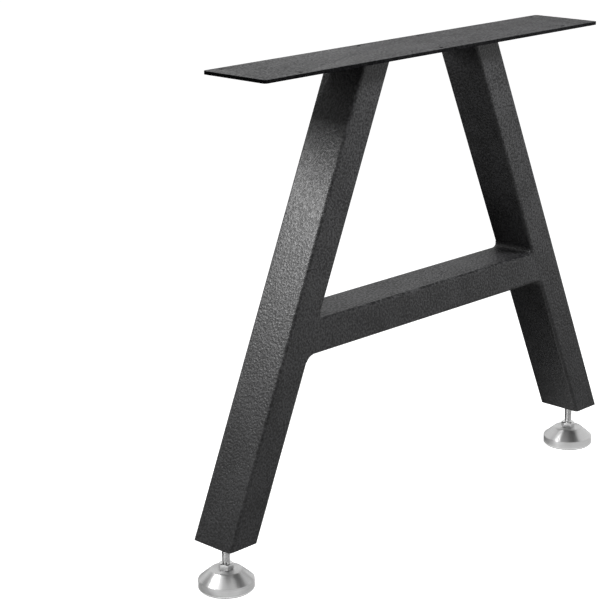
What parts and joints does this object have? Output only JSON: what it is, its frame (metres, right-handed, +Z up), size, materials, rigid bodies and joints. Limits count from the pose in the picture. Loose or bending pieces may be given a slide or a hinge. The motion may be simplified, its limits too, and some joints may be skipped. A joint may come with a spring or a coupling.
{
  "type": "trestle table leg",
  "caption": "A-shaped trestle leg of welded rectangular steel tube with a drilled mounting plate on top, a crossbar, and turned steel levelling feet that screw in and out.",
  "frame": {"origin": "on the floor, midway between the two feet", "axes": "+X along the mounting plate from the left foot to the right foot, +Y across the frame towards the four-hole edge of the plate, +Z up"},
  "size_m": [0.87, 0.12, 0.72],
  "materials": {
    "powder_coat": "black fine-textured powder coat on steel, matt with a slight sheen",
    "polished_steel": "turned and polished steel with fine rings round the axis",
    "stud_steel": "bright steel, threaded",
    "spring_steel": "phosphated spring steel",
    "plated_nut": "bright zinc plate",
    "rubber_pad": "matt black moulded rubber"
  },
  "bodies": {
    "frame": {"top_plate": "powder_coat", "crossbar_tube": "powder_coat", "left_leg_tube": "powder_coat", "left_top_weld": "powder_coat", "left_bar_weld": "powder_coat", "left_end_plate": "powder_coat", "left_weld_nut": "plated_nut", "right_leg_tube": "powder_coat", "right_top_weld": "powder_coat", "right_bar_weld": "powder_coat", "right_end_plate": "powder_coat", "right_weld_nut": "plated_nut"},
    "left_foot": {"left_foot_base": "polished_steel", "left_foot_pad": "rubber_pad"},
    "left_stud": {"left_foot_stud": "stud_steel", "left_foot_ring": "spring_steel"},
    "right_foot": {"right_foot_base": "polished_steel", "right_foot_pad": "rubber_pad"},
    "right_stud": {"right_foot_stud": "stud_steel", "right_foot_ring": "spring_steel"}
  },
  "joints": [
    {"name": "left_foot_height", "type": "slide", "parent": "frame", "child": "left_foot", "axis": [0, 0, 1], "range_m": [-0.008, 0.018]},
    {"name": "left_stud_turn", "type": "hinge", "parent": "left_foot", "child": "left_stud", "pos_m": [-0.395, 0, 0.038], "axis": [0, 0, 1], "range_deg": [-1646, 3703]},
    {"name": "right_foot_height", "type": "slide", "parent": "frame", "child": "right_foot", "axis": [0, 0, 1], "range_m": [-0.008, 0.018]},
    {"name": "right_stud_turn", "type": "hinge", "parent": "right_foot", "child": "right_stud", "pos_m": [0.395, 0, 0.038], "axis": [0, 0, 1], "range_deg": [-1646, 3703]}
  ],
  "couplings": [
    {"joint": "left_stud_turn", "follows": "left_foot_height", "rad_per_m": 3590.4},
    {"joint": "right_stud_turn", "follows": "right_foot_height", "rad_per_m": 3590.4}
  ]
}
